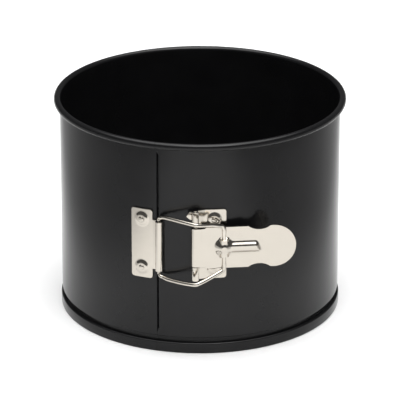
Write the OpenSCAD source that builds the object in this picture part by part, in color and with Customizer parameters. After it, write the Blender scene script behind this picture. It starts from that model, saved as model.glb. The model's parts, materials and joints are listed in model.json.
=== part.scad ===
// Springform pan: a loose base disc, a sprung steel band that closes round it, and an
// over-centre clasp. Z is up, the origin is on the pan's axis in the plane that the base
// rim stands on, and the clasp faces -Y.

/* [Ring] */
// Inside diameter of the ring wall
inner_d = 160; // [150:1:170]
// Height of the pan from the table to the top of the rolled rim
pan_h = 127.1; // [120:0.1:140]
// Thickness of the ring's sheet steel
sheet_t = 0.7; // [0.6:0.05:0.8]
// Outside diameter of the rolled rim
curl_d = 4.04; // [3.6:0.02:4.6]
// How far left of the clasp's middle the ring's seam lies, in degrees round the ring
seam_az = 17.5; // [17:0.1:18]
// How far the inner layer reaches past the seam, in degrees
tongue_az = 4; // [3:0.5:4.5]

/* [Base] */
// Thickness of the base disc
base_t = 0.8; // [0.6:0.1:1]
// Height of the base disc's edge above the table
base_h = 5.4; // [5.2:0.1:5.4]
// How far the middle of the base stands above its edge
base_step = 1; // [0.6:0.1:1.2]

/* [Clasp] */
// Height of the clasp's middle above the table
clasp_z = 66.8; // [62:0.1:70]
// Height of the catch plate and of the lever bracket
plate_h = 41.6; // [41:0.1:42]
// Thickness of the plates' sheet steel
plate_t = 1; // [0.9:0.05:1.1]
// Diameter of the bail's wire
wire_d = 2; // [1.8:0.1:2]
// Diameter of the pin that the lever turns on
pin_d = 2; // [1.8:0.1:2]
// Length of the lever from its pin to the tip
lever_l = 56.2; // [52:0.1:58]
// Width of the lever's body
lever_w = 24.5; // [24:0.1:25]
// Thickness of the lever's sheet steel
lever_t = 1.2; // [1.1:0.05:1.2]

/* [Hidden] */
$fn = 96;

// Finishes
coat = [0.11, 0.11, 0.12];
nickel = [0.86, 0.84, 0.8];

// Running clearance on the radius of each turning fit
run_gap = 0.06;
// Gap between one layer of sheet and the next
lap_gap = 0.15;
// Enough to carry a cut clear of the surface it starts from
over = 1;

// Ring
r_in = inner_d / 2;
r_out = r_in + sheet_t;
curl_r = curl_d / 2;
rim_z = pan_h - curl_r;
skirt_z0 = 0.2;
skirt_top = 6.2;
skirt_r = r_out + 0.2;
bead_z = 7.75;
bead_r = 1.6;
bead_axis_r = r_out + 0.3;
wall_z0 = 9.2;
// The plain stretch of wall, which the inner layer laps
lap_z0 = 11;
lap_z1 = pan_h - 5;
// Angle that the inner layer takes to step in behind the outer one
joggle_az = 1;
// Gap between the two halves of the band, in degrees
cut_az = 0.05;
front_a = 270;
back_a = 90;
seam_a = front_a - seam_az;

// Clasp, in plan
plate_r = r_out + 0.02;
pin_x = -2.5;
pin_y = -(r_out + 3.8);
pin_z0 = clasp_z + 0.6 - plate_h / 2;
knuckle_r = 2.1;
knuckle_h = 8.6;
bracket_z = clasp_z + 0.6;
bracket_az0 = -1.2;
bracket_az1 = 10.4;
catch_z = clasp_z - 1.4;
catch_az0 = -28;
catch_az1 = -19;
barrel_az = -16;
barrel_axis_r = r_out + 2.45;
barrel_r = 2.1;
barrel_h = 30.4;
rivet_dz = 14.6;
rivet_r = 1.2;
rivet_head_r = 1.65;
rivet_tail_r = 1.9;
pad_r = 3.2;
pad_h = 0.9;

// Lever, in its own frame: the pin's axis at the origin, x along the lever, -y outward
lever_tilt = 6;
lever_barrel_r = 2.2;
lever_barrel_h = 22.8;
lever_out = lever_barrel_r;
head_r = 12.4;
head_x = lever_l - head_r;
neck_x = 35.6;
neck_w = 20.5;
neck_r = 10.7;
boss_x = 15.75;
boss_y = -3.31;
boss_r = 4.8;
boss_h = 3;
rib_x1 = 37;
rib_w = 7.7;
rib_h = 1.5;

// Bail: where its two ends meet inside the boss, and the points of an arm from there to
// the catch barrel, each [x, y, height from the bail's middle line]
bail_y = pin_y + boss_y * cos(lever_tilt) + boss_x * sin(lever_tilt);
bail_x = pin_x + boss_x * cos(lever_tilt) - boss_y * sin(lever_tilt);
barrel_x = barrel_axis_r * sin(barrel_az);
barrel_y = -barrel_axis_r * cos(barrel_az);
straight_z = 11;
arm = [
    [bail_x, bail_y, straight_z - 1],
    [bail_x, bail_y, straight_z + 0.4],
    [bail_x - 0.9, bail_y - 0.1, 13.3],
    [bail_x - 3.1, bail_y - 1.6, 14.2],
    [bail_x - 6.5, pin_y - 5, 15.5],
    [2.8, pin_y - 7.9, 16.7],
    [-0.4, pin_y - 9.7, 17.5],
    [-2.8, pin_y - 10.1, 18],
    [-7.2, pin_y - 7.7, 18.3],
    [-12, pin_y - 4.4, 18.5],
    [-18, pin_y + 0.2, 18.5],
    [barrel_x + 2.5, barrel_y - 2.1, 18.1],
    [barrel_x + 0.9, barrel_y - 1.3, 17.6],
    [barrel_x, barrel_y, 16.6],
    [barrel_x, barrel_y, barrel_h / 2 + 0.3]
];
arm_steps = 4;
arm_sides = 12;

// ---- shared shapes ----

// A sheet bent to radius r, from angle a0 to a1 and from height z0 to z1
module bent_sheet(r, t, a0, a1, z0, z1) {
    rotate([0, 0, a0])
        rotate_extrude(angle = a1 - a0)
            translate([r, z0])
                square([t, z1 - z0]);
}

// A rounded rectangle of width w along x and height h along z, run deep along y
module rounded_block(w, h, corner_r, deep) {
    rotate([90, 0, 0])
        translate([0, 0, -deep / 2])
            linear_extrude(deep)
                union() {
                    square([w - 2 * corner_r, h], center = true);
                    square([w, h - 2 * corner_r], center = true);
                    for (sx = [-1, 1], sz = [-1, 1])
                        translate([sx * (w / 2 - corner_r), sz * (h / 2 - corner_r)])
                            circle(corner_r);
                }
}

// Places children at azimuth az on the ring and height z, with -y pointing outward
module on_ring(az, z) {
    rotate([0, 0, az]) translate([0, 0, z]) children();
}

// A round bar from radius r0 out to r1, square to the wall at the front
module radial_bar(r, r0, r1) {
    translate([0, -r0, 0]) rotate([90, 0, 0]) cylinder(h = r1 - r0, r = r);
}

// A point on the smooth curve from b to c, whose neighbours are a and d
function on_curve(a, b, c, d, t) =
    0.5 * (2 * b + (c - a) * t + (2 * a - 5 * b + 4 * c - d) * t * t
           + (3 * b - a - 3 * c + d) * t * t * t);

// The points of a smooth curve through the given ones, in steps between each pair
function curve(points, steps) = let(last = len(points) - 1) [
    for (i = [0 : last - 1], k = [0 : steps - 1])
        on_curve(points[max(i - 1, 0)], points[i], points[i + 1],
                 points[min(i + 2, last)], k / steps),
    points[last]
];

function unit(v) = v / norm(v);

// A wire of radius r along a line of points that never runs straight along y
module wire_sweep(points, r, sides) {
    last = len(points) - 1;
    rings = [
        for (i = [0 : last])
            let(along = unit(points[min(i + 1, last)] - points[max(i - 1, 0)]),
                u = unit(cross([0, 1, 0], along)),
                v = cross(along, u))
            for (j = [0 : sides - 1])
                points[i] + r * (cos(360 * j / sides) * u + sin(360 * j / sides) * v)
    ];
    walls = [
        for (i = [0 : last - 1], j = [0 : sides - 1])
            let(a = i * sides + j,
                b = i * sides + (j + 1) % sides)
            each [[a, a + sides, b], [b, a + sides, b + sides]]
    ];
    start = [for (j = [0 : sides - 1]) j];
    end = [for (j = [sides - 1 : -1 : 0]) last * sides + j];
    polyhedron(rings, concat(walls, [start], [end]));
}

// ---- base ----

module base_disc() {
    edge_r = r_out - 0.15;
    step_r = r_in - 7.5;
    color(coat)
        rotate_extrude()
            polygon([
                [0, base_h + base_step - base_t],
                [step_r - base_t / 2, base_h + base_step - base_t],
                [step_r + 0.8, base_h - base_t],
                [edge_r - base_t, base_h - base_t],
                [edge_r - base_t, 0],
                [edge_r, 0],
                [edge_r, base_h],
                [step_r + 1.2, base_h],
                [step_r, base_h + base_step],
                [0, base_h + base_step]
            ]);
}

// ---- ring ----

// Wall, rolled rim, locating groove and skirt, as one section
module ring_section() {
    translate([r_in, wall_z0]) square([sheet_t, rim_z - wall_z0]);
    difference() {
        translate([r_in + curl_r, rim_z]) circle(curl_r);
        translate([r_in + curl_r, rim_z]) circle(curl_r - sheet_t);
    }
    intersection() {
        difference() {
            translate([bead_axis_r, bead_z]) circle(bead_r + sheet_t);
            translate([bead_axis_r, bead_z]) circle(bead_r);
        }
        square([r_out, 3 * bead_z]);
    }
    translate([r_in + sheet_t / 2, skirt_top - sheet_t])
        square([skirt_r + sheet_t - r_in - sheet_t / 2, sheet_t]);
    translate([skirt_r, skirt_z0]) square([sheet_t, skirt_top - skirt_z0]);
}

// The ring's section swept from angle a0 to a1
module band_arc(a0, a1) {
    rotate([0, 0, a0]) rotate_extrude(angle = a1 - a0) ring_section();
}

// Holes for the rivets of a plate whose middle is at height z
module rivet_holes(az, z) {
    for (s = [-1, 1])
        on_ring(az, z + s * rivet_dz) radial_bar(rivet_r, r_in - 3, r_out + 4);
}

module band_right() {
    drop = sheet_t + lap_gap;
    lap_r = r_in - drop;
    lap_a1 = seam_a + 0.2;
    step_a = lap_a1 + joggle_az;
    // Slit that lets the step part from the wall above and below it
    slit = 0.1;
    // The step is rooted a little way inside both sheets
    root_az = 0.4;
    wall_in = r_in + 0.06;
    wall_out = r_out - 0.06;
    color(coat)
        difference() {
            union() {
                // Above and below the lap the band runs on to the seam
                difference() {
                    band_arc(seam_a + 0.08, back_a + 360);
                    bent_sheet(r_in - 3, 3 * curl_r, seam_a - 1, step_a, lap_z0, lap_z1);
                }
                // Step down from the wall to the inner layer
                translate([0, 0, lap_z0 + slit])
                    linear_extrude(lap_z1 - lap_z0 - 2 * slit)
                        polygon([
                            for (p = [
                                [wall_in, step_a + root_az], [wall_out, step_a + root_az],
                                [wall_out, step_a + 0.1], [wall_out - drop, lap_a1 - 0.1],
                                [wall_out - drop, lap_a1 - root_az],
                                [wall_in - drop, lap_a1 - root_az],
                                [wall_in - drop, lap_a1 - 0.1], [wall_in, step_a + 0.1]
                            ]) p[0] * [cos(p[1]), sin(p[1])]
                        ]);
                bent_sheet(lap_r, sheet_t, seam_a - tongue_az, lap_a1,
                           lap_z0 + 2 * slit, lap_z1 - 2 * slit);
            }
            rivet_holes(bracket_rivet_az(), bracket_z);
        }
}

module band_left() {
    color(coat)
        difference() {
            band_arc(back_a + cut_az, seam_a);
            rivet_holes(catch_rivet_az(), catch_z);
        }
}

// ---- clasp plates ----

function catch_rivet_az() = (catch_az0 + catch_az1) / 2;
function bracket_rivet_az() = 5.6;

// A plate bent to the ring with rounded corners and a raised pad under each rivet
module ring_plate(az0, az1, z, pad_az) {
    mid = (az0 + az1) / 2;
    width = 2 * plate_r * sin((az1 - az0) / 2);
    intersection() {
        bent_sheet(plate_r, plate_t, front_a + az0 - 5, front_a + az1 + 5,
                   z - plate_h, z + plate_h);
        on_ring(mid, z)
            translate([0, -plate_r, 0]) rounded_block(width, plate_h, 1.6, 14);
    }
    for (s = [-1, 1])
        on_ring(pad_az, z + s * rivet_dz)
            radial_bar(pad_r, plate_r + plate_t / 2, plate_r + plate_t + pad_h);
}

module catch_plate() {
    root_r = plate_r + plate_t;
    color(nickel)
        difference() {
            union() {
                ring_plate(catch_az0, catch_az1, catch_z, catch_rivet_az());
                // Tab from the plate to the barrel, rooted inside the plate
                translate([0, 0, catch_z - barrel_h / 2])
                    linear_extrude(barrel_h)
                        polygon([
                            for (p = [
                                [plate_r + 0.1, catch_az1 - 0.8], [root_r - 0.1, catch_az1 - 0.8],
                                [root_r + 0.1, catch_az1 + 0.8],
                                [barrel_axis_r, barrel_az - 0.9],
                                [barrel_axis_r - barrel_r + 0.15, barrel_az]
                            ]) p[0] * [sin(p[1]), -cos(p[1])]
                        ]);
                translate([barrel_x, barrel_y, catch_z - barrel_h / 2])
                    cylinder(h = barrel_h, r = barrel_r);
            }
            translate([barrel_x, barrel_y, catch_z - barrel_h])
                cylinder(h = 2 * barrel_h, r = wire_d / 2 + run_gap);
            rivet_holes(catch_rivet_az(), catch_z);
        }
}

module lever_bracket() {
    color(nickel)
        difference() {
            union() {
                ring_plate(bracket_az0, bracket_az1, bracket_z, bracket_rivet_az());
                for (z0 = [pin_z0, pin_z0 + plate_h - knuckle_h]) {
                    translate([pin_x, pin_y, z0]) cylinder(h = knuckle_h, r = knuckle_r);
                    // Web from the plate up to the rolled knuckle
                    translate([0, 0, z0])
                        linear_extrude(knuckle_h)
                            polygon([
                                [pin_x, pin_y + knuckle_r],
                                [pin_x + 1.2, pin_y + 1.1],
                                [pin_x + 6.2, -plate_r - plate_t + 0.4],
                                [pin_x + 5.2, -plate_r - 0.3],
                                [pin_x + 1.2, -plate_r - 0.2]
                            ]);
                }
            }
            translate([pin_x, pin_y, pin_z0 - over])
                cylinder(h = plate_h + 2 * over, r = pin_d / 2);
            rivet_holes(bracket_rivet_az(), bracket_z);
        }
}

// A solid rivet from inside the wall to a low domed head
module rivet(az, z) {
    shank_r1 = plate_r + plate_t + pad_h;
    dome = 0.7;
    dome_r = (rivet_head_r * rivet_head_r + dome * dome) / (2 * dome);
    color(nickel)
        on_ring(az, z) {
            radial_bar(rivet_r, r_in - 0.3, shank_r1 + 0.1);
            intersection() {
                translate([0, -(shank_r1 + dome - dome_r), 0]) sphere(dome_r);
                radial_bar(rivet_head_r, shank_r1, shank_r1 + 2 * dome);
            }
            // Inside the wall the tail is spread flat
            difference() {
                radial_bar(rivet_tail_r, r_in - 0.6, r_in + 0.2);
                cylinder(h = 2 * rivet_tail_r + over, r = r_in - 0.6, center = true);
                difference() {
                    cylinder(h = 2 * rivet_tail_r + over, r = r_in + over, center = true);
                    cylinder(h = 3 * rivet_tail_r + over, r = r_in, center = true);
                }
            }
        }
}

module catch_rivet_upper() rivet(catch_rivet_az(), catch_z + rivet_dz);
module catch_rivet_lower() rivet(catch_rivet_az(), catch_z - rivet_dz);
module bracket_rivet_upper() rivet(bracket_rivet_az(), bracket_z + rivet_dz);
module bracket_rivet_lower() rivet(bracket_rivet_az(), bracket_z - rivet_dz);

module pivot_pin() {
    head_h = 0.5;
    color(nickel)
        translate([pin_x, pin_y, pin_z0 - head_h]) {
            cylinder(h = plate_h + 2 * head_h, r = pin_d / 2);
            cylinder(h = head_h, r = pin_d / 2 + 0.4);
            translate([0, 0, plate_h + head_h]) cylinder(h = head_h, r = pin_d / 2 + 0.4);
        }
}

// ---- lever ----

// The lever's flat outline, x along it and y across it
module lever_outline() {
    difference() {
        union() {
            translate([0, -lever_barrel_h / 2]) square([5, lever_barrel_h]);
            translate([4, -lever_w / 2]) square([head_x - 4, lever_w]);
            translate([head_x, 0]) circle(head_r);
        }
        for (s = [-1, 1])
            translate([neck_x, s * (neck_w / 2 + neck_r)]) circle(neck_r);
    }
}

// Stiffening rib pressed outward, running from the boss and sloping down at its far end
module lever_rib() {
    slope = 2.4;
    chamfer = 0.6;
    intersection() {
        translate([0, 0, -rib_w])
            linear_extrude(2 * rib_w)
                polygon([
                    [boss_x, 0.3 - lever_out], [rib_x1, 0.3 - lever_out],
                    [rib_x1, -lever_out], [rib_x1 - slope, -lever_out - rib_h],
                    [boss_x, -lever_out - rib_h]
                ]);
        rotate([0, 90, 0])
            linear_extrude(2 * rib_x1)
                polygon([
                    [-rib_w / 2, 1 - lever_out], [rib_w / 2, 1 - lever_out],
                    [rib_w / 2, -lever_out], [rib_w / 2 - chamfer, -lever_out - rib_h],
                    [chamfer - rib_w / 2, -lever_out - rib_h], [-rib_w / 2, -lever_out]
                ]);
    }
}

module lever() {
    dome_r = (boss_r * boss_r + boss_h * boss_h) / (2 * boss_h);
    color(nickel)
        translate([pin_x, pin_y, clasp_z])
            rotate([0, 0, lever_tilt])
                difference() {
                    union() {
                        cylinder(h = lever_barrel_h, r = lever_barrel_r, center = true);
                        translate([0, lever_t - lever_out, 0])
                            rotate([90, 0, 0])
                                linear_extrude(lever_t) lever_outline();
                        lever_rib();
                        // Domed boss over the two ends of the bail
                        intersection() {
                            translate([boss_x, dome_r - boss_h - lever_out, 0])
                                sphere(dome_r);
                            translate([boss_x, 0.3 - lever_out, 0])
                                rotate([90, 0, 0]) cylinder(h = 2 * boss_h, r = 2 * boss_r);
                        }
                    }
                    cylinder(h = 2 * lever_w, r = pin_d / 2 + run_gap, center = true);
                    translate([boss_x, boss_y, 0])
                        cylinder(h = lever_w, r = wire_d / 2 + run_gap, center = true);
                }
}

// ---- bail ----

// The arm on one side, 1 above and -1 below; its middle line falls from the boss's height
// to the catch's
function arm_points(side) = [
    for (p = arm)
        [p.x, p.y,
         side * p.z + (catch_z - clasp_z) * (bail_x - p.x) / (bail_x - barrel_x)]
];

module bail_wire() {
    color(nickel)
        translate([0, 0, clasp_z]) {
            // The two ends are butted together inside the boss
            translate([bail_x, bail_y, 0])
                cylinder(h = 2 * straight_z, d = wire_d, center = true);
            for (side = [-1, 1])
                wire_sweep(curve(arm_points(side), arm_steps), wire_d / 2 - 0.02, arm_sides);
        }
}

// The stretch of the bail's wire that lies captive in the catch's barrel
module bail_hinge_leg() {
    color(nickel)
        translate([barrel_x, barrel_y, catch_z])
            cylinder(h = barrel_h, d = wire_d, center = true);
}

base_disc();
band_right();
band_left();
catch_plate();
catch_rivet_upper();
catch_rivet_lower();
lever_bracket();
bracket_rivet_upper();
bracket_rivet_lower();
pivot_pin();
lever();
bail_wire();
bail_hinge_leg();
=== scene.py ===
"""Springform pan: the looks of its band, base and clasp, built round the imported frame.

Shapes are worked out in millimetres, in the frame's own directions: +Z up, the clasp facing -Y,
the origin on the pan's axis at table height. A piece becomes metres when its mesh is finished.
An azimuth is measured round the pan from its front, positive towards +X.
"""

import json
import logging
import math
from collections.abc import Callable, Iterable, Sequence
from dataclasses import dataclass, field
from enum import Enum

import bmesh
import bpy
from mathutils import Matrix, Vector


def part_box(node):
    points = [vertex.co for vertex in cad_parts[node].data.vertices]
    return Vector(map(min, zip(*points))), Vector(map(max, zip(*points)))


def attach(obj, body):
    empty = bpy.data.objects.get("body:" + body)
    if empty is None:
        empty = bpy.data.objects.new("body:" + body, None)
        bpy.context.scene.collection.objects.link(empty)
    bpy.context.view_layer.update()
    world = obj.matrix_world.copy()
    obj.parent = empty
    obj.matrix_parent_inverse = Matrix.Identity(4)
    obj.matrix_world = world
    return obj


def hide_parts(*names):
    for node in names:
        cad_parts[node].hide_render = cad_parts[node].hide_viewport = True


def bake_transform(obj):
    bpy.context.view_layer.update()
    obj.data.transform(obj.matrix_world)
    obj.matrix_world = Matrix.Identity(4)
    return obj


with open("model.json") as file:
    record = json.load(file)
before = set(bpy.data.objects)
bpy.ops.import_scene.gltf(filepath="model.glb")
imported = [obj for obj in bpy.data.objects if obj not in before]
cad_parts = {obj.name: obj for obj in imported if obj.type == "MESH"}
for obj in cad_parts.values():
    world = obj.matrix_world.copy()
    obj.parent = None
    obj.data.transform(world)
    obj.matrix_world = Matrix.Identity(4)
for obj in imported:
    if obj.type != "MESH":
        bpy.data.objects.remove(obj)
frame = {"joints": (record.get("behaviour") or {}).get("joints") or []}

LOG = logging.getLogger("springform_pan")
MM = 0.001
# Degrees past which an edge of pressed sheet is broken by a bevel
SHARP_EDGE = 60.0
# Where the two pairs of rivets stand: azimuths, and height from their plate's middle
CATCH_RIVETS = -23.5
BRACKET_RIVETS = 5.6
RIVET_RISE = 14.6
# Radius of the clasp plates' rounded corners
PLATE_CORNER = 1.6


# ---------------------------------------------------------------- small tools


class Body(Enum):
    """The rigid bodies that the frame moves."""

    BASE = "base"
    RING_RIGHT = "ring_right"
    RING_LEFT = "ring_left"
    LEVER = "lever"
    BAIL = "bail"


class Slot(Enum):
    """The record's material slots."""

    RING = "ring_coating"
    BASE = "base_coating"
    SHEET = "nickel_sheet"
    RIVET = "nickel_rivet"
    WIRE = "nickel_wire"


def smooth(t: float) -> float:
    """Ease from 0 to 1 as t goes from 0 to 1, flat at both ends."""
    t = min(max(t, 0.0), 1.0)
    return t * t * (3 - 2 * t)


def spread(first: float, last: float, count: int) -> list[float]:
    """Return count + 1 even steps from first to last, both ends included."""
    return [first + (last - first) * i / count for i in range(count + 1)]


def round_pan(radius: float, azimuth: float, z: float = 0.0) -> Vector:
    """Return the point at a radius, an azimuth in degrees and a height."""
    a = math.radians(azimuth)
    return Vector((radius * math.sin(a), -radius * math.cos(a), z))


def azimuth_of(p: Vector) -> float:
    """Return a point's azimuth in degrees, from -180 to 180."""
    return math.degrees(math.atan2(p.x, -p.y))


def linear_colour(code: str) -> tuple[float, float, float, float]:
    """Turn an sRGB hex colour into the linear one that a shader takes.

    Args:
        code: A hash and six hex digits.

    Returns:
        Linear red, green and blue, and full opacity.
    """
    digits = code.lstrip("#")
    parts = [int(digits[i : i + 2], 16) / 255 for i in (0, 2, 4)]
    red, green, blue = [
        c / 12.92 if c <= 0.04045 else ((c + 0.055) / 1.055) ** 2.4 for c in parts
    ]
    return red, green, blue, 1.0


def joint_place(name: str) -> Vector:
    """Return where a hinge of the frame lies at rest, in millimetres."""
    joint = next(j for j in frame["joints"] if j["name"] == name)
    return Vector(joint["pos_m"]) / MM


def node_box(name: str) -> tuple[Vector, Vector]:
    """Return a frame node's lowest and highest corners at rest, in millimetres."""
    low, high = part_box(name)
    return Vector(low) / MM, Vector(high) / MM


# ------------------------------------------------------------------ materials


def add_node(
    tree: bpy.types.NodeTree,
    kind: str,
    inputs: dict[str | int, object] | None = None,
    **settings: object,
) -> bpy.types.Node:
    """Add a shader node with its settings, its values and its links.

    Args:
        tree: The node tree that takes it.
        kind: The node's type name.
        inputs: A value or a linked output socket for each named or numbered input.
        **settings: Attributes of the node itself.

    Returns:
        The new node.
    """
    node = tree.nodes.new(kind)
    for key, value in settings.items():
        setattr(node, key, value)
    for key, value in (inputs or {}).items():
        if isinstance(value, bpy.types.NodeSocket):
            tree.links.new(value, node.inputs[key])
        else:
            node.inputs[key].default_value = value
    return node


def per_mm(size_mm: float) -> float:
    """Return the texture scale whose features are about size_mm across, on coordinates in metres."""
    return 1 / (size_mm * MM)


@dataclass(frozen=True)
class Finish:
    """A surface with grain in its colour, its roughness and its relief.

    Attributes:
        name: The material's name.
        colour: Its main colour, sRGB hex.
        worn_colour: The colour of its cloudy variation, sRGB hex.
        metallic: 1 for bare or plated metal, 0 for a coating.
        roughness: Middle roughness.
        roughness_spread: How far the roughness wanders either way.
        grain_mm: Size of the fine grain.
        grain_height_mm: Height of the fine grain.
        cloud_mm: Size of the slow variation.
        ripple_mm: Size of the slow waviness of the sheet.
        ripple_height_mm: Height of that waviness.
        stretch: How much longer than wide the grain is along Z.
        ior: Refractive index, which counts for a coating.
    """

    name: str
    colour: str
    worn_colour: str
    metallic: float
    roughness: float
    roughness_spread: float
    grain_mm: float
    grain_height_mm: float
    cloud_mm: float
    ripple_mm: float
    ripple_height_mm: float
    stretch: float = 1.0
    ior: float = 1.5

    def make(self) -> bpy.types.Material:
        """Build the material with its nodes."""
        material = bpy.data.materials.new(self.name)
        material.use_nodes = True
        tree = material.node_tree
        tree.nodes.clear()
        place = add_node(tree, "ShaderNodeTexCoord").outputs["Object"]
        along = add_node(
            tree,
            "ShaderNodeMapping",
            {"Vector": place, "Scale": (1.0, 1.0, 1 / self.stretch)},
        ).outputs["Vector"]
        cloud, grain, ripple = (
            add_node(
                tree,
                "ShaderNodeTexNoise",
                {"Vector": at, "Scale": per_mm(size), "Detail": detail, "Roughness": fineness},
            ).outputs["Fac"]
            for at, size, detail, fineness in (
                (place, self.cloud_mm, 4.0, 0.55),
                (along, self.grain_mm, 3.0, 0.6),
                (place, self.ripple_mm, 1.0, 0.5),
            )
        )
        both = add_node(tree, "ShaderNodeMath", {0: cloud, 1: grain}, operation="ADD").outputs[0]
        shade = add_node(
            tree,
            "ShaderNodeMapRange",
            {"Value": cloud, "From Min": 0.3, "From Max": 0.7},
        ).outputs["Result"]
        tint = add_node(
            tree,
            "ShaderNodeMix",
            {
                "Factor": shade,
                "A": linear_colour(self.colour),
                "B": linear_colour(self.worn_colour),
            },
            data_type="RGBA",
        )
        rough = add_node(
            tree,
            "ShaderNodeMapRange",
            {
                "Value": both,
                "From Min": 0.6,
                "From Max": 1.4,
                "To Min": self.roughness - self.roughness_spread,
                "To Max": self.roughness + self.roughness_spread,
            },
        ).outputs["Result"]
        waves = add_node(
            tree,
            "ShaderNodeBump",
            {"Height": ripple, "Strength": 1.0, "Distance": self.ripple_height_mm * MM},
        ).outputs["Normal"]
        relief = add_node(
            tree,
            "ShaderNodeBump",
            {
                "Height": grain,
                "Strength": 1.0,
                "Distance": self.grain_height_mm * MM,
                "Normal": waves,
            },
        ).outputs["Normal"]
        shader = add_node(
            tree,
            "ShaderNodeBsdfPrincipled",
            {
                "Base Color": tint.outputs["Result"],
                "Metallic": self.metallic,
                "Roughness": rough,
                "Normal": relief,
                "IOR": self.ior,
            },
        )
        add_node(tree, "ShaderNodeOutputMaterial", {"Surface": shader.outputs["BSDF"]})
        return material


# Sprayed and baked fluoropolymer coating on sheet steel: near black, with a satin sheen and
# the faint orange peel of sprayed resin
RING_COATING = Finish(
    name="nonstick_coating_ring",
    colour="#141415",
    worn_colour="#19191a",
    metallic=0.0,
    roughness=0.18,
    roughness_spread=0.03,
    grain_mm=0.7,
    grain_height_mm=0.006,
    cloud_mm=22.0,
    ripple_mm=16.0,
    ripple_height_mm=0.03,
    ior=1.33,
)
# The same coating rolled on flat sheet before the base is pressed, so a little smoother
BASE_COATING = Finish(
    name="nonstick_coating_base",
    colour="#121213",
    worn_colour="#171718",
    metallic=0.0,
    roughness=0.26,
    roughness_spread=0.04,
    grain_mm=0.8,
    grain_height_mm=0.008,
    cloud_mm=26.0,
    ripple_mm=18.0,
    ripple_height_mm=0.03,
    ior=1.33,
)
# Barrel-plated nickel over pressed sheet: warm and bright, with the soft waviness of the
# pressing and fine tumbling marks
NICKEL_SHEET = Finish(
    name="nickel_plated_sheet",
    colour="#c2bcb2",
    worn_colour="#c0bab0",
    metallic=1.0,
    roughness=0.15,
    roughness_spread=0.03,
    grain_mm=0.5,
    grain_height_mm=0.004,
    cloud_mm=7.0,
    ripple_mm=6.0,
    ripple_height_mm=0.03,
)
# Rivet and pin stock, upset cold: the same plating, a little duller on the heads
NICKEL_RIVET = Finish(
    name="nickel_plated_rivet",
    colour="#c4beb4",
    worn_colour="#b8b2a8",
    metallic=1.0,
    roughness=0.2,
    roughness_spread=0.04,
    grain_mm=0.4,
    grain_height_mm=0.004,
    cloud_mm=3.0,
    ripple_mm=3.0,
    ripple_height_mm=0.02,
)
# Drawn wire under the same plating: smooth, with faint die lines along it
NICKEL_WIRE = Finish(
    name="nickel_plated_wire",
    colour="#cbc5bb",
    worn_colour="#c0bab0",
    metallic=1.0,
    roughness=0.14,
    roughness_spread=0.03,
    grain_mm=0.4,
    grain_height_mm=0.003,
    cloud_mm=5.0,
    ripple_mm=5.0,
    ripple_height_mm=0.015,
    stretch=3.0,
)


# --------------------------------------------------------------- mesh helpers


def chain(bm: bmesh.types.BMesh, points: Iterable[Vector], closed: bool) -> list:
    """Lay a line of vertices joined by edges.

    Args:
        bm: The mesh that takes them.
        points: Their places.
        closed: Whether the last one is joined to the first.

    Returns:
        The new vertices and edges, as an operator's geometry.
    """
    verts = [bm.verts.new(p) for p in points]
    pairs = list(zip(verts, verts[1:]))
    if closed:
        pairs.append((verts[-1], verts[0]))
    return verts + [bm.edges.new(pair) for pair in pairs]


def spin_round(bm: bmesh.types.BMesh, geometry: list, degrees: float, steps: int) -> list:
    """Spin an outline about the upright axis at the origin.

    Args:
        bm: The mesh that holds it.
        geometry: The outline's vertices and edges.
        degrees: How far it turns, positive towards +X at the pan's front.
        steps: Number of steps; a full turn is merged onto its start.

    Returns:
        The outline's last place, as geometry.
    """
    made = bmesh.ops.spin(
        bm,
        geom=geometry,
        cent=(0, 0, 0),
        axis=(0, 0, 1),
        dvec=(0, 0, 0),
        angle=math.radians(degrees),
        steps=steps,
        use_merge=abs(degrees) == 360,
        use_normal_flip=False,
        use_duplicate=False,
    )
    return made["geom_last"]


def cap(bm: bmesh.types.BMesh, geometry: list) -> None:
    """Close the end of a swept outline with one face."""
    edges = [e for e in geometry if isinstance(e, bmesh.types.BMEdge)]
    bmesh.ops.edgeloop_fill(bm, edges=edges, mat_nr=0, use_smooth=False)


def soften(bm: bmesh.types.BMesh, offset: float) -> None:
    """Bevel every edge that is sharper than SHARP_EDGE."""
    sharp = [
        e
        for e in bm.edges
        if len(e.link_faces) == 2 and e.calc_face_angle(0.0) > math.radians(SHARP_EDGE)
    ]
    bmesh.ops.bevel(
        bm,
        geom=sharp,
        offset=offset,
        offset_type="OFFSET",
        affect="EDGES",
        segments=2,
        profile=0.5,
        material=-1,
        clamp_overlap=True,
    )


def finish_piece(
    bm: bmesh.types.BMesh,
    name: str,
    body: Body | None,
    material: bpy.types.Material,
    stands_for: Sequence[str] = (),
    sharp_angle: float = 40.0,
) -> bpy.types.Object:
    """Turn a mesh in millimetres into a finished piece that rides on a body.

    Args:
        bm: The mesh, which is freed.
        name: The piece's name.
        body: The body that it rides on, or None to leave it on no body.
        material: Its finish.
        stands_for: Frame nodes that it takes the place of.
        sharp_angle: Edges sharper than this, in degrees, stay crisp.

    Returns:
        The piece's object.
    """
    bmesh.ops.remove_doubles(bm, verts=bm.verts, dist=0.0005)
    bmesh.ops.recalc_face_normals(bm, faces=bm.faces)
    bmesh.ops.scale(bm, vec=(MM, MM, MM), verts=bm.verts)
    mesh = bpy.data.meshes.new(name)
    bm.to_mesh(mesh)
    bm.free()
    mesh.shade_smooth()
    mesh.set_sharp_from_angle(angle=math.radians(sharp_angle))
    mesh.materials.append(material)
    piece = bpy.data.objects.new(name, mesh)
    bpy.context.scene.collection.objects.link(piece)
    if body is not None:
        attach(piece, body.value)
    if stands_for:
        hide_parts(*stands_for)
    LOG.info("%s: %d vertices, %d faces", name, len(mesh.vertices), len(mesh.polygons))
    return piece


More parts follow.
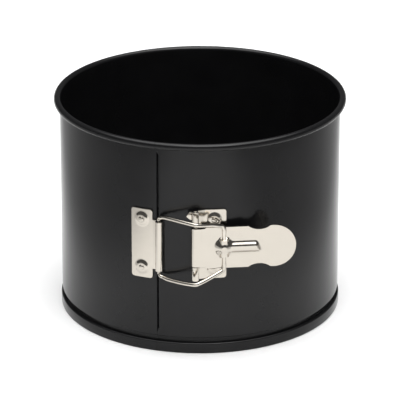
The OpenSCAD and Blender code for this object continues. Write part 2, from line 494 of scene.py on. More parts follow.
def fillet_path(corners: Sequence[tuple[float, float, float]], step_degrees: float) -> list[Vector]:
    """Round the corners of a line in a plane.

    Args:
        corners: Each corner's two coordinates and its radius; the two ends have none.
        step_degrees: Angle between the points on a round.

    Returns:
        The rounded line's points.
    """
    points = [Vector(corners[0][:2])]
    for before, here, after in zip(corners, corners[1:], corners[2:]):
        a, b, c = (Vector(p[:2]) for p in (before, here, after))
        to_a, to_c = (a - b).normalized(), (c - b).normalized()
        turn = math.pi - to_a.angle(to_c)
        if here[2] <= 0 or turn < 1e-4:
            points.append(b)
            continue
        reach = here[2] * math.tan(turn / 2)
        centre = b + (to_a + to_c).normalized() * here[2] / math.cos(turn / 2)
        start, end = b + to_a * reach, b + to_c * reach
        count = max(2, math.ceil(math.degrees(turn) / step_degrees))
        side = 1 if (start - centre).cross(end - centre) > 0 else -1
        for angle in spread(0, side * turn, count):
            arm = (start - centre).copy()
            arm.rotate(Matrix.Rotation(angle, 2))
            points.append(centre + arm)
    points.append(Vector(corners[-1][:2]))
    return points


def strip_outline(path: Sequence[Vector], thickness: float) -> list[Vector]:
    """Give a line in a plane a sheet's thickness and round ends.

    Args:
        path: The middle of the sheet.
        thickness: The sheet's thickness.

    Returns:
        The closed outline's points.
    """
    half = thickness / 2
    last = len(path) - 1
    sides: list[Vector] = []
    for i, p in enumerate(path):
        along = (path[min(i + 1, last)] - path[max(i - 1, 0)]).normalized()
        sides.append(Vector((-along.y, along.x)) * half)
    left = [p + s for p, s in zip(path, sides)]
    right = [p - s for p, s in zip(path, sides)]

    def round_end(p: Vector, arm: Vector) -> list[Vector]:
        """Return the points half way round the end at p, turning clockwise from arm."""
        out = []
        for degrees in (-30, -60, -90, -120, -150):
            turned = arm.copy()
            turned.rotate(Matrix.Rotation(math.radians(degrees), 2))
            out.append(p + turned)
        return out

    return (
        left
        + round_end(path[-1], sides[-1])
        + right[::-1]
        + round_end(path[0], -sides[0])
    )


# ----------------------------------------------------------------- plan paths


@dataclass
class PlanPath:
    """The middle of a bent sheet seen from above, measured along its length.

    Its right-hand side, for someone walking along it, is the sheet's outer face.
    """

    points: list[Vector]
    lengths: list[float] = field(init=False)

    def __post_init__(self) -> None:
        """Measure the path."""
        self.lengths = [0.0]
        for a, b in zip(self.points, self.points[1:]):
            self.lengths.append(self.lengths[-1] + (b - a).length)

    @property
    def total(self) -> float:
        """The path's whole length."""
        return self.lengths[-1]

    def _normal(self, i: int) -> Vector:
        """Return the outward side at a point of the path."""
        last = len(self.points) - 1
        along = (self.points[min(i + 1, last)] - self.points[max(i - 1, 0)]).normalized()
        return Vector((along.y, -along.x))

    def place(self, u: float, v: float) -> Vector:
        """Return the point at length u along the path and v to its outer side."""
        u = min(max(u, 0.0), self.total)
        i = next(k for k in range(1, len(self.lengths)) if u <= self.lengths[k] + 1e-9) - 1
        share = (u - self.lengths[i]) / max(self.lengths[i + 1] - self.lengths[i], 1e-9)
        p = self.points[i].lerp(self.points[i + 1], share)
        n = self._normal(i).lerp(self._normal(i + 1), share).normalized()
        return p + n * v

    def nearest(self, target: Vector) -> float:
        """Return the length at which the path passes closest to a point."""
        k = min(range(len(self.points)), key=lambda i: (self.points[i] - target).length)
        return self.lengths[k]


def arc_points(centre: Vector, radius: float, first: float, last: float) -> list[Vector]:
    """Return points on an arc, a few degrees apart.

    Args:
        centre: The arc's centre in plan.
        radius: Its radius.
        first: Angle at which it starts, in degrees from +X, counter-clockwise.
        last: Angle at which it ends, below first where it turns clockwise.

    Returns:
        The points, in order.
    """
    count = max(4, math.ceil(abs(last - first) / 6))
    return [
        centre + radius * Vector((math.cos(math.radians(a)), math.sin(math.radians(a))))
        for a in spread(first, last, count)
    ]


@dataclass
class PressedSheet:
    """A piece of pressed sheet metal, laid out flat, embossed, thickened and then bent.

    Flat, x is the length along the path, y the outer side and z the height.
    """

    path: PlanPath
    thickness: float
    middle_z: float
    bm: bmesh.types.BMesh = field(default_factory=bmesh.new)

    def lay(
        self, stations: Sequence[float], rows: int, half_height: Callable[[float], float]
    ) -> None:
        """Lay the flat sheet.

        Args:
            stations: The lengths at which it has a column of vertices.
            rows: Number of faces from its lower to its upper edge.
            half_height: Half of its height at a length.
        """
        columns = len(stations) - 1
        bmesh.ops.create_grid(self.bm, x_segments=columns, y_segments=rows, size=0.5)
        for v in self.bm.verts:
            u = stations[round((v.co.x + 0.5) * columns)]
            v.co = Vector((u, 0.0, 2 * v.co.y * half_height(u)))

    def extend(self, at: float, stops: Sequence[float], keep: Callable[[float], bool]) -> None:
        """Run a tab out from an upright edge of the sheet.

        Args:
            at: The length where the edge lies.
            stops: The lengths that the tab reaches, one after another.
            keep: Says for a height whether the tab is that high there.
        """
        edges = [
            e
            for e in self.bm.edges
            if e.is_boundary
            and all(abs(v.co.x - at) < 1e-4 and keep(v.co.z) for v in e.verts)
        ]
        for stop in stops:
            made = bmesh.ops.extrude_edge_only(self.bm, edges=edges)["geom"]
            edges = [e for e in made if isinstance(e, bmesh.types.BMEdge)]
            edges = [e for e in edges if e.is_boundary and self._new_edge(e, made)]
            for v in {v for e in edges for v in e.verts}:
                v.co.x = stop

    @staticmethod
    def _new_edge(edge: bmesh.types.BMEdge, made: list) -> bool:
        """Say whether both ends of an edge came from the last extrusion."""
        return all(v in made for v in edge.verts)

    def emboss(self, height: Callable[[float, float], float]) -> None:
        """Press the sheet outward by a height that depends on length and height."""
        for v in self.bm.verts:
            v.co.y += height(v.co.x, v.co.z)

    def thicken(self) -> None:
        """Give the sheet its thickness, half to each side, and break its edges."""
        bmesh.ops.recalc_face_normals(self.bm, faces=self.bm.faces)
        if sum(f.normal.y * f.calc_area() for f in self.bm.faces) < 0:
            bmesh.ops.reverse_faces(self.bm, faces=self.bm.faces)
        for v in self.bm.verts:
            v.co.y += self.thickness / 2
        bmesh.ops.solidify(self.bm, geom=self.bm.faces[:], thickness=self.thickness)
        soften(self.bm, min(0.22, self.thickness / 4))

    def bend(self) -> bmesh.types.BMesh:
        """Bend the flat piece along its path and return its mesh."""
        for v in self.bm.verts:
            flat = self.path.place(v.co.x, v.co.y)
            v.co = Vector((flat.x, flat.y, v.co.z + self.middle_z))
        return self.bm


def bump(distance: float, radius: float, flank: float) -> float:
    """Return 1 inside a radius, easing to 0 over a flank outside it."""
    return smooth((radius + flank - distance) / flank)


def slope(distance: float, top: float, foot: float) -> float:
    """Return 1 within the top, falling to 0 at the foot along a flank with soft ends."""
    t = min(max((foot - distance) / (foot - top), 0.0), 1.0)
    return 0.45 * t + 0.55 * smooth(t)


def soft_max(a: float, b: float, width: float = 0.5) -> float:
    """Return the larger of two heights, with a fillet where they meet."""
    share = max(width - abs(a - b), 0.0) / width
    return max(a, b) + share * share * width / 4


def corner(distance: float, radius: float) -> float:
    """Return how far a rounded corner pulls in at a distance from the end."""
    short = max(radius - distance, 0.0)
    return radius - math.sqrt(max(radius * radius - short * short, 0.0))


def rivet_pads(along: float, z: float) -> float:
    """Return how far a clasp plate is pressed out in the round pads under its two rivets.

    Args:
        along: Length along the plate from its rivets.
        z: Height from the plate's middle.
    """
    height, radius, flank = 0.95, 2.5, 2.0
    aways = (math.hypot(along, z - side * RIVET_RISE) for side in (-1, 1))
    return sum(height * bump(away, radius, flank) for away in aways)


# ----------------------------------------------------------------------- ring


@dataclass
class Ring:
    """The sprung band: rolled rim, wall, locating groove and skirt, lapped at the front."""

    material: bpy.types.Material
    sheet: float = 0.7
    curl_radius: float = 2.02
    seam: float = -17.5
    seam_gap: float = 0.1
    step_width: float = 1.1
    step_drop: float = 0.85
    lap_end: float = -21.5
    lap_bottom: float = 15.0
    lap_top_below_rim: float = 9.1
    lap_clear: float = 0.4
    lap_corner: float = 1.5
    lap_tuck: float = 0.02
    ramp: float = 4.0
    back_join: float = 24.0
    flex_across: float = 36.0
    flex_along: float = 20.0
    skirt_hem: float = 0.2
    groove_low: float = 5.85
    groove_high: float = 9.65
    groove_depth: float = 2.0
    skirt_flare: float = 0.65
    turn_step: float = 0.75

    def __post_init__(self) -> None:
        """Take the ring's reach from the frame."""
        high = node_box("band_right")[1]
        self.rim_top = high.z
        self.rim_radius = high.x
        self.wall_mid = self.rim_radius - 2 * self.curl_radius + self.sheet / 2
        self.lap_top = self.rim_top - self.lap_top_below_rim

    def section(self) -> list[Vector]:
        """Return the closed outline of the ring's sheet, as radius and height."""
        wall, skirt = self.wall_mid, self.wall_mid + self.skirt_flare
        groove = wall - self.groove_depth
        rim_z = self.rim_top - self.curl_radius
        low_path = fillet_path(
            [
                (skirt, self.skirt_hem + self.sheet / 2, 0),
                (skirt, self.groove_low, 0.5),
                (groove, self.groove_low, 0.9),
                (groove, self.groove_high, 0.9),
                (wall, self.groove_high, 0.4),
                (wall, self.lap_bottom - self.ramp, 0),
            ],
            15,
        )
        rows_low = spread(self.lap_bottom - 0.8 * self.ramp, self.lap_bottom, 4)
        rows_high = spread(self.lap_top, self.lap_top + 0.8 * self.ramp, 4)
        wall_path = [Vector((wall, z)) for z in rows_low + rows_high]
        curl_mid = self.curl_radius - self.sheet / 2
        centre = Vector((wall + curl_mid, rim_z))
        curl = arc_points(centre, curl_mid, 180, -150)
        return strip_outline(low_path + wall_path + curl, self.sheet)

    def stand_section(self, bm: bmesh.types.BMesh, azimuth: float) -> list:
        """Stand the section's outline at an azimuth and return its geometry."""
        return chain(bm, [round_pan(p.x, azimuth, p.y) for p in self.section()], closed=True)

    def step_in(self, bm: bmesh.types.BMesh) -> None:
        """Press the wall inward beside the seam, between the rim and the groove."""
        begins = self.seam + self.seam_gap + self.step_width
        for v in bm.verts:
            share = smooth((begins - azimuth_of(v.co)) / self.step_width)
            low = smooth((v.co.z - self.lap_bottom + self.ramp) / self.ramp)
            high = smooth((self.lap_top + self.ramp - v.co.z) / self.ramp)
            inward = Vector((v.co.x, v.co.y, 0)).normalized() * self.step_drop
            v.co -= inward * share * low * high

    def build_right(self) -> None:
        """Build the right-hand side, from the seam round to behind the pan."""
        bm = bmesh.new()
        begins = self.seam + self.seam_gap + self.step_width
        turn = self.back_azimuth() - begins
        start = self.stand_section(bm, begins)
        far_end = spin_round(bm, start, turn, round(turn / self.turn_step))
        near_end = spin_round(bm, start, -self.step_width, 8)
        cap(bm, far_end)
        cap(bm, near_end)
        self.step_in(bm)
        finish_piece(
            bm, "band_wall_right", Body.RING_RIGHT, self.material, ["band_right"]
        )

    def build_lap(self) -> None:
        """Build the inner layer, which slides behind the outer one as the band opens."""
        bm = bmesh.new()
        middle_radius = self.wall_mid - self.step_drop
        outer = middle_radius + self.sheet / 2
        low = self.lap_bottom + self.lap_clear
        high = self.lap_top - self.lap_clear
        path = [Vector((middle_radius, z)) for z in spread(low, high, 8)]
        begins = self.seam + self.seam_gap - self.lap_tuck
        outline = [round_pan(p.x, begins, p.y) for p in strip_outline(path, self.sheet)]
        start = chain(bm, outline, closed=True)
        reach = self.lap_end - self.seam - self.seam_gap
        far_end = spin_round(bm, start, reach, 12)
        cap(bm, start)
        cap(bm, far_end)
        for v in bm.verts:
            left = azimuth_of(v.co) - self.lap_end
            pull = corner(math.radians(left) * outer, self.lap_corner)
            middle = (low + high) / 2
            v.co.z = middle + (v.co.z - middle) * (1 - 2 * pull / (high - low))
        finish_piece(bm, "band_lap", Body.RING_RIGHT, self.material)

    def back_azimuth(self) -> float:
        """Return the azimuth behind the pan where the two lengths of wall meet."""
        return 180 - math.degrees(math.asin(self.back_join / self.wall_mid))

    def build_left(self) -> None:
        """Build the left-hand side, from the seam round to behind the pan, where it meets the
        right-hand one; it is left on no body.
        """
        bm = bmesh.new()
        turn = self.back_azimuth() - 360 - self.seam
        start = self.stand_section(bm, self.seam)
        far_end = spin_round(bm, start, turn, round(-turn / self.turn_step))
        cap(bm, start)
        cap(bm, far_end)
        piece = finish_piece(bm, "band_wall_left", None, self.material, ["band_left"])
        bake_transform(piece)

    def build(self) -> None:
        """Build the whole band."""
        self.build_right()
        self.build_lap()
        self.build_left()


@dataclass
class Base:
    """The loose base disc, with a raised middle and a turned-down rim."""

    material: bpy.types.Material
    sheet: float = 0.8
    panel_inset: float = 9.0
    panel_rise: float = 1.0
    panel_slope: float = 1.4

    def build(self) -> None:
        """Build the disc by spinning its section."""
        high = node_box("base_disc")[1]
        edge = high.x - self.sheet / 2
        top = high.z - self.sheet / 2
        ledge = top - self.panel_rise
        panel = edge - self.panel_inset
        path = fillet_path(
            [
                (0.0, top, 0),
                (panel, top, 1.2),
                (panel + self.panel_slope, ledge, 1.2),
                (edge, ledge, 0.7),
                (edge, self.sheet / 2, 0),
            ],
            12,
        )
        # The rounded end at the axis is dropped: the two faces meet on the axis instead
        outline = [p for p in strip_outline(path, self.sheet) if p.x > -1e-6]
        bm = bmesh.new()
        geometry = chain(bm, [round_pan(p.x, 0, p.y) for p in outline], closed=False)
        spin_round(bm, geometry, 360, 288)
        bmesh.ops.remove_doubles(bm, verts=bm.verts, dist=0.002)
        finish_piece(bm, "base_plate", Body.BASE, self.material, ["base_disc"])


# ---------------------------------------------------------------------- clasp


@dataclass
class CatchPlate:
    """The plate left of the seam, whose tab is rolled round the bail's wire."""

    material: bpy.types.Material
    wall_radius: float
    thickness: float = 1.0
    first_azimuth: float = -28.0
    last_azimuth: float = -19.0
    curl_turn: float = 305.0
    barrel_radius: float = 2.1

    def __post_init__(self) -> None:
        """Take the plate's and the barrel's places from the frame."""
        low, high = node_box("catch_plate")
        leg_low, leg_high = node_box("bail_hinge_leg")
        self.middle = (low.z + high.z) / 2
        self.half = (high.z - low.z) / 2
        self.barrel = (leg_low + leg_high) / 2
        self.tab_half = (leg_high.z - leg_low.z) / 2

    def path(self) -> PlanPath:
        """Return the sheet's path: round the wall, up to the barrel and round the wire."""
        centre = Vector((self.barrel.x, self.barrel.y))
        barrel_azimuth = azimuth_of(self.barrel)
        curl = self.barrel_radius - self.thickness / 2
        plate = self.wall_radius + self.thickness / 2
        rise = centre.length - curl - plate
        points = []
        for azimuth in spread(self.first_azimuth, barrel_azimuth, 80):
            past = (azimuth - self.last_azimuth) / (barrel_azimuth - self.last_azimuth)
            points.append(round_pan(plate + rise * smooth(past), azimuth).xy)
        inward = math.degrees(math.atan2(-centre.y, -centre.x))
        roll = arc_points(centre, curl, inward, inward - self.curl_turn)
        return PlanPath(points + roll[1:])

    def build(self) -> None:
        """Build the plate."""
        path = self.path()
        edge = path.nearest(round_pan(self.wall_radius, self.last_azimuth).xy)
        rivet_u = path.nearest(round_pan(self.wall_radius, CATCH_RIVETS).xy)
        sheet = PressedSheet(path, self.thickness, self.middle)

        def half_height(u: float) -> float:
            """Return half of the plate's height, less its rounded corners."""
            return self.half - corner(min(u, edge - u), PLATE_CORNER)

        ends = spread(0, PLATE_CORNER, 6)
        stations = ends[:-1] + spread(PLATE_CORNER, edge - PLATE_CORNER, 26)
        stations += [edge - e for e in reversed(ends[:-1])]
        sheet.lay(stations, 72, half_height)
        shift = self.barrel.z - self.middle
        sheet.extend(
            edge,
            spread(edge, path.total, 46)[1:],
            lambda z: abs(z - shift) <= self.tab_half,
        )
        sheet.emboss(lambda u, z: rivet_pads(u - rivet_u, z))
        sheet.thicken()
        finish_piece(
            sheet.bend(),
            "catch_plate_pressing",
            Body.RING_LEFT,
            self.material,
            ["catch_plate"],
        )


@dataclass
class Bracket:
    """The plate right of the seam, with two rolled knuckles that hold the pivot pin."""

    material: bpy.types.Material
    wall_radius: float
    thickness: float = 1.0
    near_azimuth: float = 2.6
    far_azimuth: float = 10.4
    knuckle_radius: float = 2.1
    knuckle_height: float = 8.9
    curl_turn: float = 255.0
    ear_thickness: float = 0.9
    ear_lean: float = 0.16
    # The ear's corners: distance from the pin and height from the bracket's top
    ear: tuple = ((0.0, -6.2), (-3.0, -5.4), (-5.2, -3.2), (-3.4, -0.6), (0.0, -0.6))

    def __post_init__(self) -> None:
        """Take the bracket's and the pin's places from the frame."""
        low, high = node_box("lever_bracket")
        self.middle = (low.z + high.z) / 2
        self.half = (high.z - low.z) / 2
        self.pin = joint_place("lever_swing")

    def path(self) -> PlanPath:
        """Return the sheet's path: round the pin, down to the wall and along it."""
        centre = Vector((self.pin.x, self.pin.y))
        curl = self.knuckle_radius - self.thickness / 2
        plate = self.wall_radius + self.thickness / 2
        points = arc_points(centre, curl, 90 + self.curl_turn, 90)
        top = centre.y + curl
        meets = round_pan(plate, self.near_azimuth)
        for share in spread(0, 1, 14)[1:]:
            x = centre.x + (meets.x - centre.x) * share
            y = top + (meets.y - top) * smooth(share)
            points.append(Vector((x, y)))
        for azimuth in spread(self.near_azimuth, self.far_azimuth, 40)[1:]:
            points.append(round_pan(plate, azimuth).xy)
        return PlanPath(points)

    def build_ear(self) -> None:
        """Build the pointed ear that stands out behind the upper knuckle."""
        back = self.pin.y + self.knuckle_radius - 0.1
        top = self.middle + self.half
        bm = bmesh.new()
        corners = [Vector((self.pin.x + x, back, top + z)) for x, z in self.ear]
        cap(bm, chain(bm, corners, closed=True))
        bmesh.ops.solidify(bm, geom=bm.faces[:], thickness=self.ear_thickness)
        soften(bm, 0.2)
        for v in bm.verts:
            v.co.y -= self.ear_lean * max(self.pin.x - 1.5 - v.co.x, 0.0) ** 1.5
        finish_piece(bm, "lever_bracket_ear", Body.RING_RIGHT, self.material)

    def build(self) -> None:
        """Build the bracket."""
        self.build_ear()
        path = self.path()
        edge = path.nearest(round_pan(self.wall_radius, self.near_azimuth).xy)
        rivet_u = path.nearest(round_pan(self.wall_radius, BRACKET_RIVETS).xy)
        sheet = PressedSheet(path, self.thickness, self.middle)

        def half_height(u: float) -> float:
            """Return half of the bracket's height, less its rounded corners."""
            return self.half - corner(path.total - u, PLATE_CORNER)

        ends = spread(0, PLATE_CORNER, 6)
        stations = spread(edge, path.total - PLATE_CORNER, 24)
        stations += [path.total - e for e in reversed(ends[:-1])]
        sheet.lay(stations, 74, half_height)
        inner = self.half - self.knuckle_height
        sheet.extend(edge, spread(edge, 0, 44)[1:], lambda z: abs(z) >= inner)
        sheet.emboss(lambda u, z: rivet_pads(u - rivet_u, z))
        sheet.thicken()
        finish_piece(
            sheet.bend(),
            "lever_bracket_pressing",
            Body.RING_RIGHT,
            self.material,
            ["lever_bracket"],
        )


@dataclass
class Lever:
    """The closing lever: a barrel on the pin, a boss over the bail's ends, a rib and a round head."""

    material: bpy.types.Material
    thickness: float = 1.14
    tilt: float = 6.0
    barrel_radius: float = 2.2
    barrel_half: float = 11.4
    body_half: float = 12.25
    length: float = 56.2
    head_radius: float = 12.4
    neck_at: float = 35.6
    neck_half: float = 10.25
    neck_radius: float = 10.7
    curl_turn: float = 250.0
    boss_top: float = 1.3
    boss_foot: float = 6.3
    boss_height: float = 3.3
    sleeve_across: tuple[float, float] = (1.4, 3.0)
    sleeve_along: tuple[float, float] = (5.0, 6.0)
    sleeve_height: float = 2.8
    rib_end: float = 37.4
    rib_tail: float = 1.6
    rib_slant: float = 0.35
    rib_half: float = 3.9
    rib_top: float = 1.1
    rib_height: float = 1.9
    waist_at: float = 4.3
    waist_across: tuple[float, float] = (0.5, 1.9)
    waist_depth: float = 0.3
    tip: float = 3.2

    def __post_init__(self) -> None:
        """Take the pin's and the boss's places from the frame."""
        self.pin = joint_place("lever_swing")
        tilt = math.radians(self.tilt)
        self.heading = Vector((math.cos(tilt), math.sin(tilt)))
        self.boss_x = (joint_place("bail_swing") - self.pin).xy.dot(self.heading)

    def path(self) -> PlanPath:
        """Return the sheet's path: round the pin and out along the lever."""
        centre = Vector((self.pin.x, self.pin.y))
        curl = self.barrel_radius - self.thickness / 2
        leaves = 270 + self.tilt
        points = arc_points(centre, curl, leaves - self.curl_turn, leaves)
        start = points[-1]
        points += [start + self.heading * s for s in spread(0, self.length, 60)[1:]]
        return PlanPath(points)

    def half_width(self, x: float) -> float:
        """Return half of the lever's width at a distance from the pin."""
        body = self.barrel_half + (self.body_half - self.barrel_half) * smooth((x - 4.5) / 1.5)
        head_x = self.length - self.head_radius
        if x > head_x:
            inside = max(self.head_radius**2 - (x - head_x) ** 2, 0.0)
            return max(math.sqrt(inside), 0.02)
        off = self.neck_radius**2 - (x - self.neck_at) ** 2
        if off > 0:
            body = min(body, self.neck_half + self.neck_radius - math.sqrt(off))
        join = bump(head_x - x, 0.0, 4.5)
        return body + (self.head_radius - self.body_half) * join

    def relief(self, x: float, z: float) -> float:
        """Return how far the sheet is pressed out at a distance from the pin and a height."""
        away = math.hypot(x - self.boss_x, z)
        dome = self.boss_height * slope(away, self.boss_top, self.boss_foot)
        sleeve = self.sleeve_height * slope(abs(x - self.boss_x), *self.sleeve_across)
        sleeve *= slope(abs(z), *self.sleeve_along)
        end = self.rib_end - self.rib_slant * (z + self.rib_half)
        rib = self.rib_height * slope(abs(z), self.rib_top, self.rib_half)
        rib *= slope(x, end - self.rib_tail, end) * smooth((x - self.boss_x) / 2.0)
        waist = self.waist_depth * slope(abs(x - self.waist_at), *self.waist_across)
        return soft_max(soft_max(dome, sleeve), rib) - waist

    def build(self) -> None:
        """Build the lever."""
        path = self.path()
        bent = path.total - self.length
        tip_at = path.total - self.tip
        stations = spread(0, bent, 36) + spread(bent, tip_at, 132)[1:]
        quarter = spread(0, 90, 14)[1:]
        stations += [tip_at + self.tip * math.sin(math.radians(a)) for a in quarter]
        sheet = PressedSheet(path, self.thickness, self.pin.z)
        sheet.lay(stations, 64, lambda u: self.half_width(u - bent))
        sheet.emboss(lambda u, z: self.relief(u - bent, z))
        sheet.thicken()
        finish_piece(
            sheet.bend(), "lever_pressing", Body.LEVER, self.material, ["lever"]
        )


@dataclass
class Fastener:
    """A turned or upset part: an outline spun about its own axis."""

    name: str
    body: Body
    material: bpy.types.Material
    outline: Sequence[tuple[float, float]]
    stands_for: str

    def build(self, place: Matrix) -> None:
        """Spin the outline and set it in place.

        Args:
            place: Takes the part from upright at the origin to where it lies.
        """
        bm = bmesh.new()
        geometry = chain(bm, [Vector((r, 0, h)) for r, h in self.outline], closed=False)
        spin_round(bm, geometry, 360, 48)
        bmesh.ops.transform(bm, matrix=place, verts=bm.verts)
        finish_piece(
            bm, self.name, self.body, self.material, [self.stands_for], 50.0
        )


def domed(radius: float, foot: float, height: float) -> list[tuple[float, float]]:
    """Return the outline of a low domed head from its rim to its crown.

    Args:
        radius: The head's radius.
        foot: Height at which its rim stands.
        height: Height of the dome.

    Returns:
        Points as radius and height.
    """
    turns = [math.radians(a) for a in spread(0, 90, 10)]
    return [(radius * math.cos(a), foot + height * math.sin(a)) for a in turns]


@dataclass
class Fasteners:
    """The four rivets and the pivot pin."""

    material: bpy.types.Material
    wall_radius: float
    inner_radius: float
    shank_radius: float = 1.2
    head_radius: float = 1.65
    head_height: float = 0.55
    tail_radius: float = 1.9
    tail_height: float = 0.5
    rim: float = 0.3
    seat: float = 2.05
    pin_radius: float = 1.0
    peen_radius: float = 1.4
    peen_height: float = 0.35
    peen_length: float = 0.55

    def rivet(self, node: str, body: Body, azimuth: float) -> None:
        """Build one rivet through the wall.

        Args:
            node: The frame node that it stands for.
            body: The body that it rides on.
            azimuth: Where it goes through the wall.
        """
        low, high = node_box(node)
        start = self.inner_radius - self.tail_height
        seat = self.wall_radius + self.seat
        foot = seat - self.rim
        outline = [(0.0, start), (self.tail_radius - self.rim, start)]
        outline += [(self.tail_radius, start + self.rim), (self.tail_radius, self.inner_radius)]
        outline += [(self.shank_radius, self.inner_radius), (self.shank_radius, foot)]
        outline += [(self.head_radius, foot)]
        outline += domed(self.head_radius, seat, self.head_height)
        lies = (
            Matrix.Translation((0, 0, (low.z + high.z) / 2))
            @ Matrix.Rotation(math.radians(azimuth), 4, "Z")
            @ Matrix.Rotation(math.radians(90), 4, "X")
        )
        Fastener(f"{node}_head", body, self.material, outline, node).build(lies)

    def pin(self) -> None:
        """Build the pivot pin with its two peened ends."""
        low, high = node_box("pivot_pin")
        place = joint_place("lever_swing")
        half = (high.z - low.z) / 2
        inner = half - self.peen_length
        dome = domed(self.peen_radius, half - self.peen_height, self.peen_height)
        outline = [(r, -h) for r, h in reversed(dome)]
        outline += [(self.peen_radius, -inner), (self.pin_radius, -inner)]
        outline += [(self.pin_radius, inner), (self.peen_radius, inner)] + dome
        lies = Matrix.Translation((place.x, place.y, (low.z + high.z) / 2))
        Fastener(
            "pivot_pin_turned", Body.RING_RIGHT, self.material, outline, "pivot_pin"
        ).build(lies)

    def build(self) -> None:
        """Build them all."""
        for end in ("upper", "lower"):
            self.rivet(f"catch_rivet_{end}", Body.RING_LEFT, CATCH_RIVETS)
            self.rivet(f"bracket_rivet_{end}", Body.RING_RIGHT, BRACKET_RIVETS)
        self.pin()


@dataclass
class Bail:
    """The wire bail: two arched arms from the lever's boss to the catch's barrel."""

    material: bpy.types.Material
    wire_radius: float = 1.0
    arm_radius: float = 1.2
    boss_stretch: float = 7.5
    end_stretch: float = 1.5
    taper: float = 2.5
    sides: int = 20
    steps: int = 8

    def __post_init__(self) -> None:
        """Take the places of its two ends from the frame."""
        self.boss = joint_place("bail_swing")
        self.pin = joint_place("lever_swing")
        low, high = node_box("bail_hinge_leg")
        self.barrel = (low + high) / 2
        self.leg_half = (high.z - low.z) / 2

    def arm(self, side: int) -> list[Vector]:
        """Return the points that an arm's curve passes through, from the boss's height.

        Args:
            side: 1 for the arm above, -1 for the one below.
        """
        x, y, out = self.boss.x, self.boss.y, self.pin.y
        end_x, end_y = self.barrel.x, self.barrel.y
        fall = (self.barrel.z - self.boss.z) / (x - end_x)
        stops = [
            (x, y, 0.0),
            (x, y, 10.0),
            (x, y, 11.4),
            (x - 0.9, y - 0.1, 13.3),
            (x - 3.1, y - 1.6, 14.2),
            (x - 6.5, out - 5.0, 15.5),
            (2.8, out - 7.9, 16.7),
            (-0.4, out - 9.7, 17.5),
            (-2.8, out - 10.1, 18.0),
            (-7.2, out - 7.7, 18.3),
            (-12.0, out - 4.4, 18.5),
            (-18.0, out + 0.2, 18.5),
            (end_x + 2.5, end_y - 2.1, 18.1),
            (end_x + 0.9, end_y - 1.3, 17.6),
            (end_x, end_y, 16.6),
            (end_x, end_y, self.leg_half + 0.3),
        ]
        return [Vector((px, py, side * pz + fall * (x - px))) for px, py, pz in stops]

    def curve(self, points: Sequence[Vector]) -> list[Vector]:
        """Return a smooth curve through the points."""
        last = len(points) - 1
        out = []
        for i in range(last):
            a, b = points[max(i - 1, 0)], points[i]
            c, d = points[i + 1], points[min(i + 2, last)]
            for k in range(self.steps):
                t = k / self.steps
                out.append(
                    0.5
                    * (
                        2 * b
                        + (c - a) * t
                        + (2 * a - 5 * b + 4 * c - d) * t * t
                        + (3 * b - a - 3 * c + d) * t**3
                    )
                )
        return out + [points[last]]

    def radius_at(self, point: Vector) -> float:
        """Return the bent wire's radius at a point: thinner where it turns in its two bearings."""
        aside = (point.xy - self.barrel.xy).length
        beyond = abs(point.z - self.barrel.z) - self.leg_half
        from_end = max(aside, beyond) - self.end_stretch
        from_boss = (point - self.boss).length - self.boss_stretch
        share = min(max(min(from_end, from_boss) / self.taper, 0.0), 1.0)
        return self.wire_radius + (self.arm_radius - self.wire_radius) * share

    def sweep(
        self, bm: bmesh.types.BMesh, line: Sequence[Vector], radii: Sequence[float]
    ) -> None:
        """Run a round wire along a line by extruding its end, ring after ring."""
        last = len(line) - 1

        def stand(i: int) -> Matrix:
            """Return the place and the size of the wire's ring at a point of the line."""
            along = (line[min(i + 1, last)] - line[max(i - 1, 0)]).normalized()
            u = Vector((0, 1, 0)).cross(along).normalized()
            v = along.cross(u)
            turn = Matrix((u, v, along)).transposed().to_4x4()
            return Matrix.Translation(line[i]) @ turn @ Matrix.Scale(radii[i], 4)

        made = bmesh.ops.create_circle(
            bm, cap_ends=False, segments=self.sides, radius=1.0, matrix=stand(0)
        )
        first = list({e for v in made["verts"] for e in v.link_edges})
        edges = first
        for i in range(1, last + 1):
            grown = bmesh.ops.extrude_edge_only(bm, edges=edges)["geom"]
            verts = [g for g in grown if isinstance(g, bmesh.types.BMVert)]
            edges = [
                g
                for g in grown
                if isinstance(g, bmesh.types.BMEdge) and all(v in verts for v in g.verts)
            ]
            move = stand(i) @ stand(i - 1).inverted()
            bmesh.ops.transform(bm, matrix=move, verts=verts)
        cap(bm, first)
        cap(bm, edges)

    def build(self) -> None:
        """Build the arms as one wire, and the leg that stays in the barrel."""
        upper = self.curve(self.arm(1))
        lower = self.curve(self.arm(-1))[:0:-1]
        rise = Vector((0, 0, self.boss.z))
        bm = bmesh.new()
        line = [p + rise for p in lower + upper]
        self.sweep(bm, line, [self.radius_at(p) for p in line])
        finish_piece(bm, "bail_wire_bent", Body.BAIL, self.material, ["bail_wire"])
        bm = bmesh.new()
        ends = spread(-self.leg_half, self.leg_half, 12)
        leg = [self.barrel + Vector((0, 0, z)) for z in ends]
        self.sweep(bm, leg, [self.wire_radius] * len(leg))
        finish_piece(
            bm,
            "bail_leg_in_barrel",
            Body.RING_LEFT,
            self.material,
            ["bail_hinge_leg"],
        )


# --------------------------------------------------------------------- studio


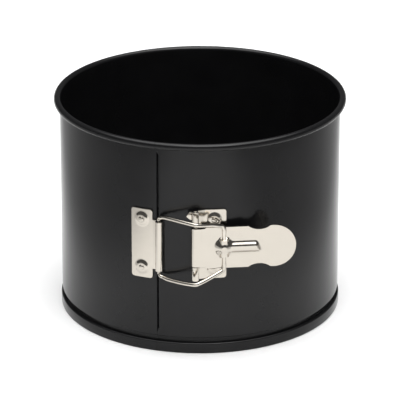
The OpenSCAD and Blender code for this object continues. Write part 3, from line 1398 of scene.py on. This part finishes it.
@dataclass
class Studio:
    """A pale floor with painted shade out to its sides, soft light from above, and the camera."""

    distance: float = 1.8768
    elevation: float = 22.02
    look_at_height: float = 0.0609
    lens: float = 290.04
    floor_half: float = 6.0
    floor_colour: str = "#f7f7f7"
    # Painted shade: the floor's colour out to the sides, standing in for light that falls off away
    # from the pan
    painted_shade_colour: str = "#b4b4b4"
    pale_within: float = 0.1
    grey_beyond: float = 0.24
    sky_strength: float = 4.0
    horizon_strength: float = 0.1
    dim_below: float = 0.7
    bright_above: float = 0.94
    key_place: tuple[float, float, float] = (0.15, -0.6, 1.55)
    key_size: float = 0.8
    key_power: float = 7.0

    def floor(self) -> None:
        """Lay the floor just under the pan, greyer out to the sides: painted shade standing in for
        light that falls off there, so that the black wall mirrors a dimmer surround near its outline.
        """
        bm = bmesh.new()
        bmesh.ops.create_grid(bm, x_segments=1, y_segments=1, size=self.floor_half)
        mesh = bpy.data.meshes.new("floor")
        bm.to_mesh(mesh)
        bm.free()
        material = bpy.data.materials.new("matt_floor_with_painted_shade")
        material.use_nodes = True
        tree = material.node_tree
        place = add_node(tree, "ShaderNodeTexCoord").outputs["Object"]
        aside = add_node(tree, "ShaderNodeSeparateXYZ", {0: place}).outputs["X"]
        aside = add_node(tree, "ShaderNodeMath", {0: aside}, operation="ABSOLUTE").outputs[0]
        # Painted shade: the share of grey rises from pale_within to grey_beyond either side of the
        # middle
        edge = add_node(
            tree,
            "ShaderNodeMapRange",
            {"Value": aside, "From Min": self.pale_within, "From Max": self.grey_beyond},
            interpolation_type="SMOOTHSTEP",
        ).outputs["Result"]
        floor_with_painted_shade = add_node(
            tree,
            "ShaderNodeMix",
            {
                "Factor": edge,
                "A": linear_colour(self.floor_colour),
                "B": linear_colour(self.painted_shade_colour),
            },
            data_type="RGBA",
        ).outputs["Result"]
        shader = tree.nodes["Principled BSDF"]
        tree.links.new(floor_with_painted_shade, shader.inputs["Base Color"])
        shader.inputs["Roughness"].default_value = 0.9
        shader.inputs["Specular IOR Level"].default_value = 0.0
        mesh.materials.append(material)
        floor = bpy.data.objects.new("floor", mesh)
        bpy.context.scene.collection.objects.link(floor)

    def sky(self) -> None:
        """Light the scene from above, with a dim horizon that bright metal can mirror."""
        world = bpy.data.worlds.new("studio")
        bpy.context.scene.world = world
        world.use_nodes = True
        tree = world.node_tree
        towards = add_node(tree, "ShaderNodeTexCoord").outputs["Generated"]
        height = add_node(tree, "ShaderNodeSeparateXYZ", {0: towards}).outputs["Z"]
        strength = add_node(
            tree,
            "ShaderNodeMapRange",
            {
                "Value": height,
                "From Min": self.dim_below,
                "From Max": self.bright_above,
                "To Min": self.horizon_strength,
                "To Max": self.sky_strength,
            },
            interpolation_type="SMOOTHSTEP",
        ).outputs["Result"]
        tree.links.new(strength, tree.nodes["Background"].inputs["Strength"])
        tree.nodes["Background"].inputs["Color"].default_value = (1.0, 1.0, 1.0, 1.0)

    def softbox(self) -> None:
        """Hang the square key light, which faces the pan."""
        light = bpy.data.lights.new("key_softbox", "AREA")
        light.size = self.key_size
        light.energy = self.key_power
        lamp = bpy.data.objects.new("key_softbox", light)
        lamp.location = self.key_place
        towards = Vector((0, 0, self.look_at_height)) - lamp.location
        lamp.rotation_euler = towards.to_track_quat("-Z", "Y").to_euler()
        bpy.context.scene.collection.objects.link(lamp)

    def camera(self) -> None:
        """Set up the camera in front of the clasp, looking down at the pan."""
        data = bpy.data.cameras.new("camera")
        data.lens = self.lens
        data.sensor_width = 36.0
        data.clip_end = 50.0
        camera = bpy.data.objects.new("camera", data)
        tilt = math.radians(self.elevation)
        back = Vector((0, -math.cos(tilt), math.sin(tilt)))
        camera.location = Vector((0, 0, self.look_at_height)) + back * self.distance
        camera.rotation_euler = (math.radians(90) - tilt, 0, 0)
        bpy.context.scene.collection.objects.link(camera)
        bpy.context.scene.camera = camera

    def build(self) -> None:
        """Set up the whole studio."""
        self.camera()
        self.floor()
        self.sky()
        self.softbox()
        bpy.context.scene.view_settings.view_transform = "Standard"


def main() -> None:
    """Build the pan's pieces in order."""
    logging.basicConfig(level=logging.INFO, format="%(name)s: %(message)s")
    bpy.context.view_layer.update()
    Studio().build()
    sheet = NICKEL_SHEET.make()
    ring = Ring(RING_COATING.make())
    ring.build()
    Base(BASE_COATING.make()).build()
    inner = ring.wall_mid - ring.sheet / 2
    outer = ring.wall_mid + ring.sheet / 2 + 0.02
    CatchPlate(sheet, outer).build()
    Bracket(sheet, outer).build()
    Lever(sheet).build()
    Fasteners(NICKEL_RIVET.make(), outer, inner).build()
    Bail(NICKEL_WIRE.make()).build()


if __name__ == "__main__":
    main()
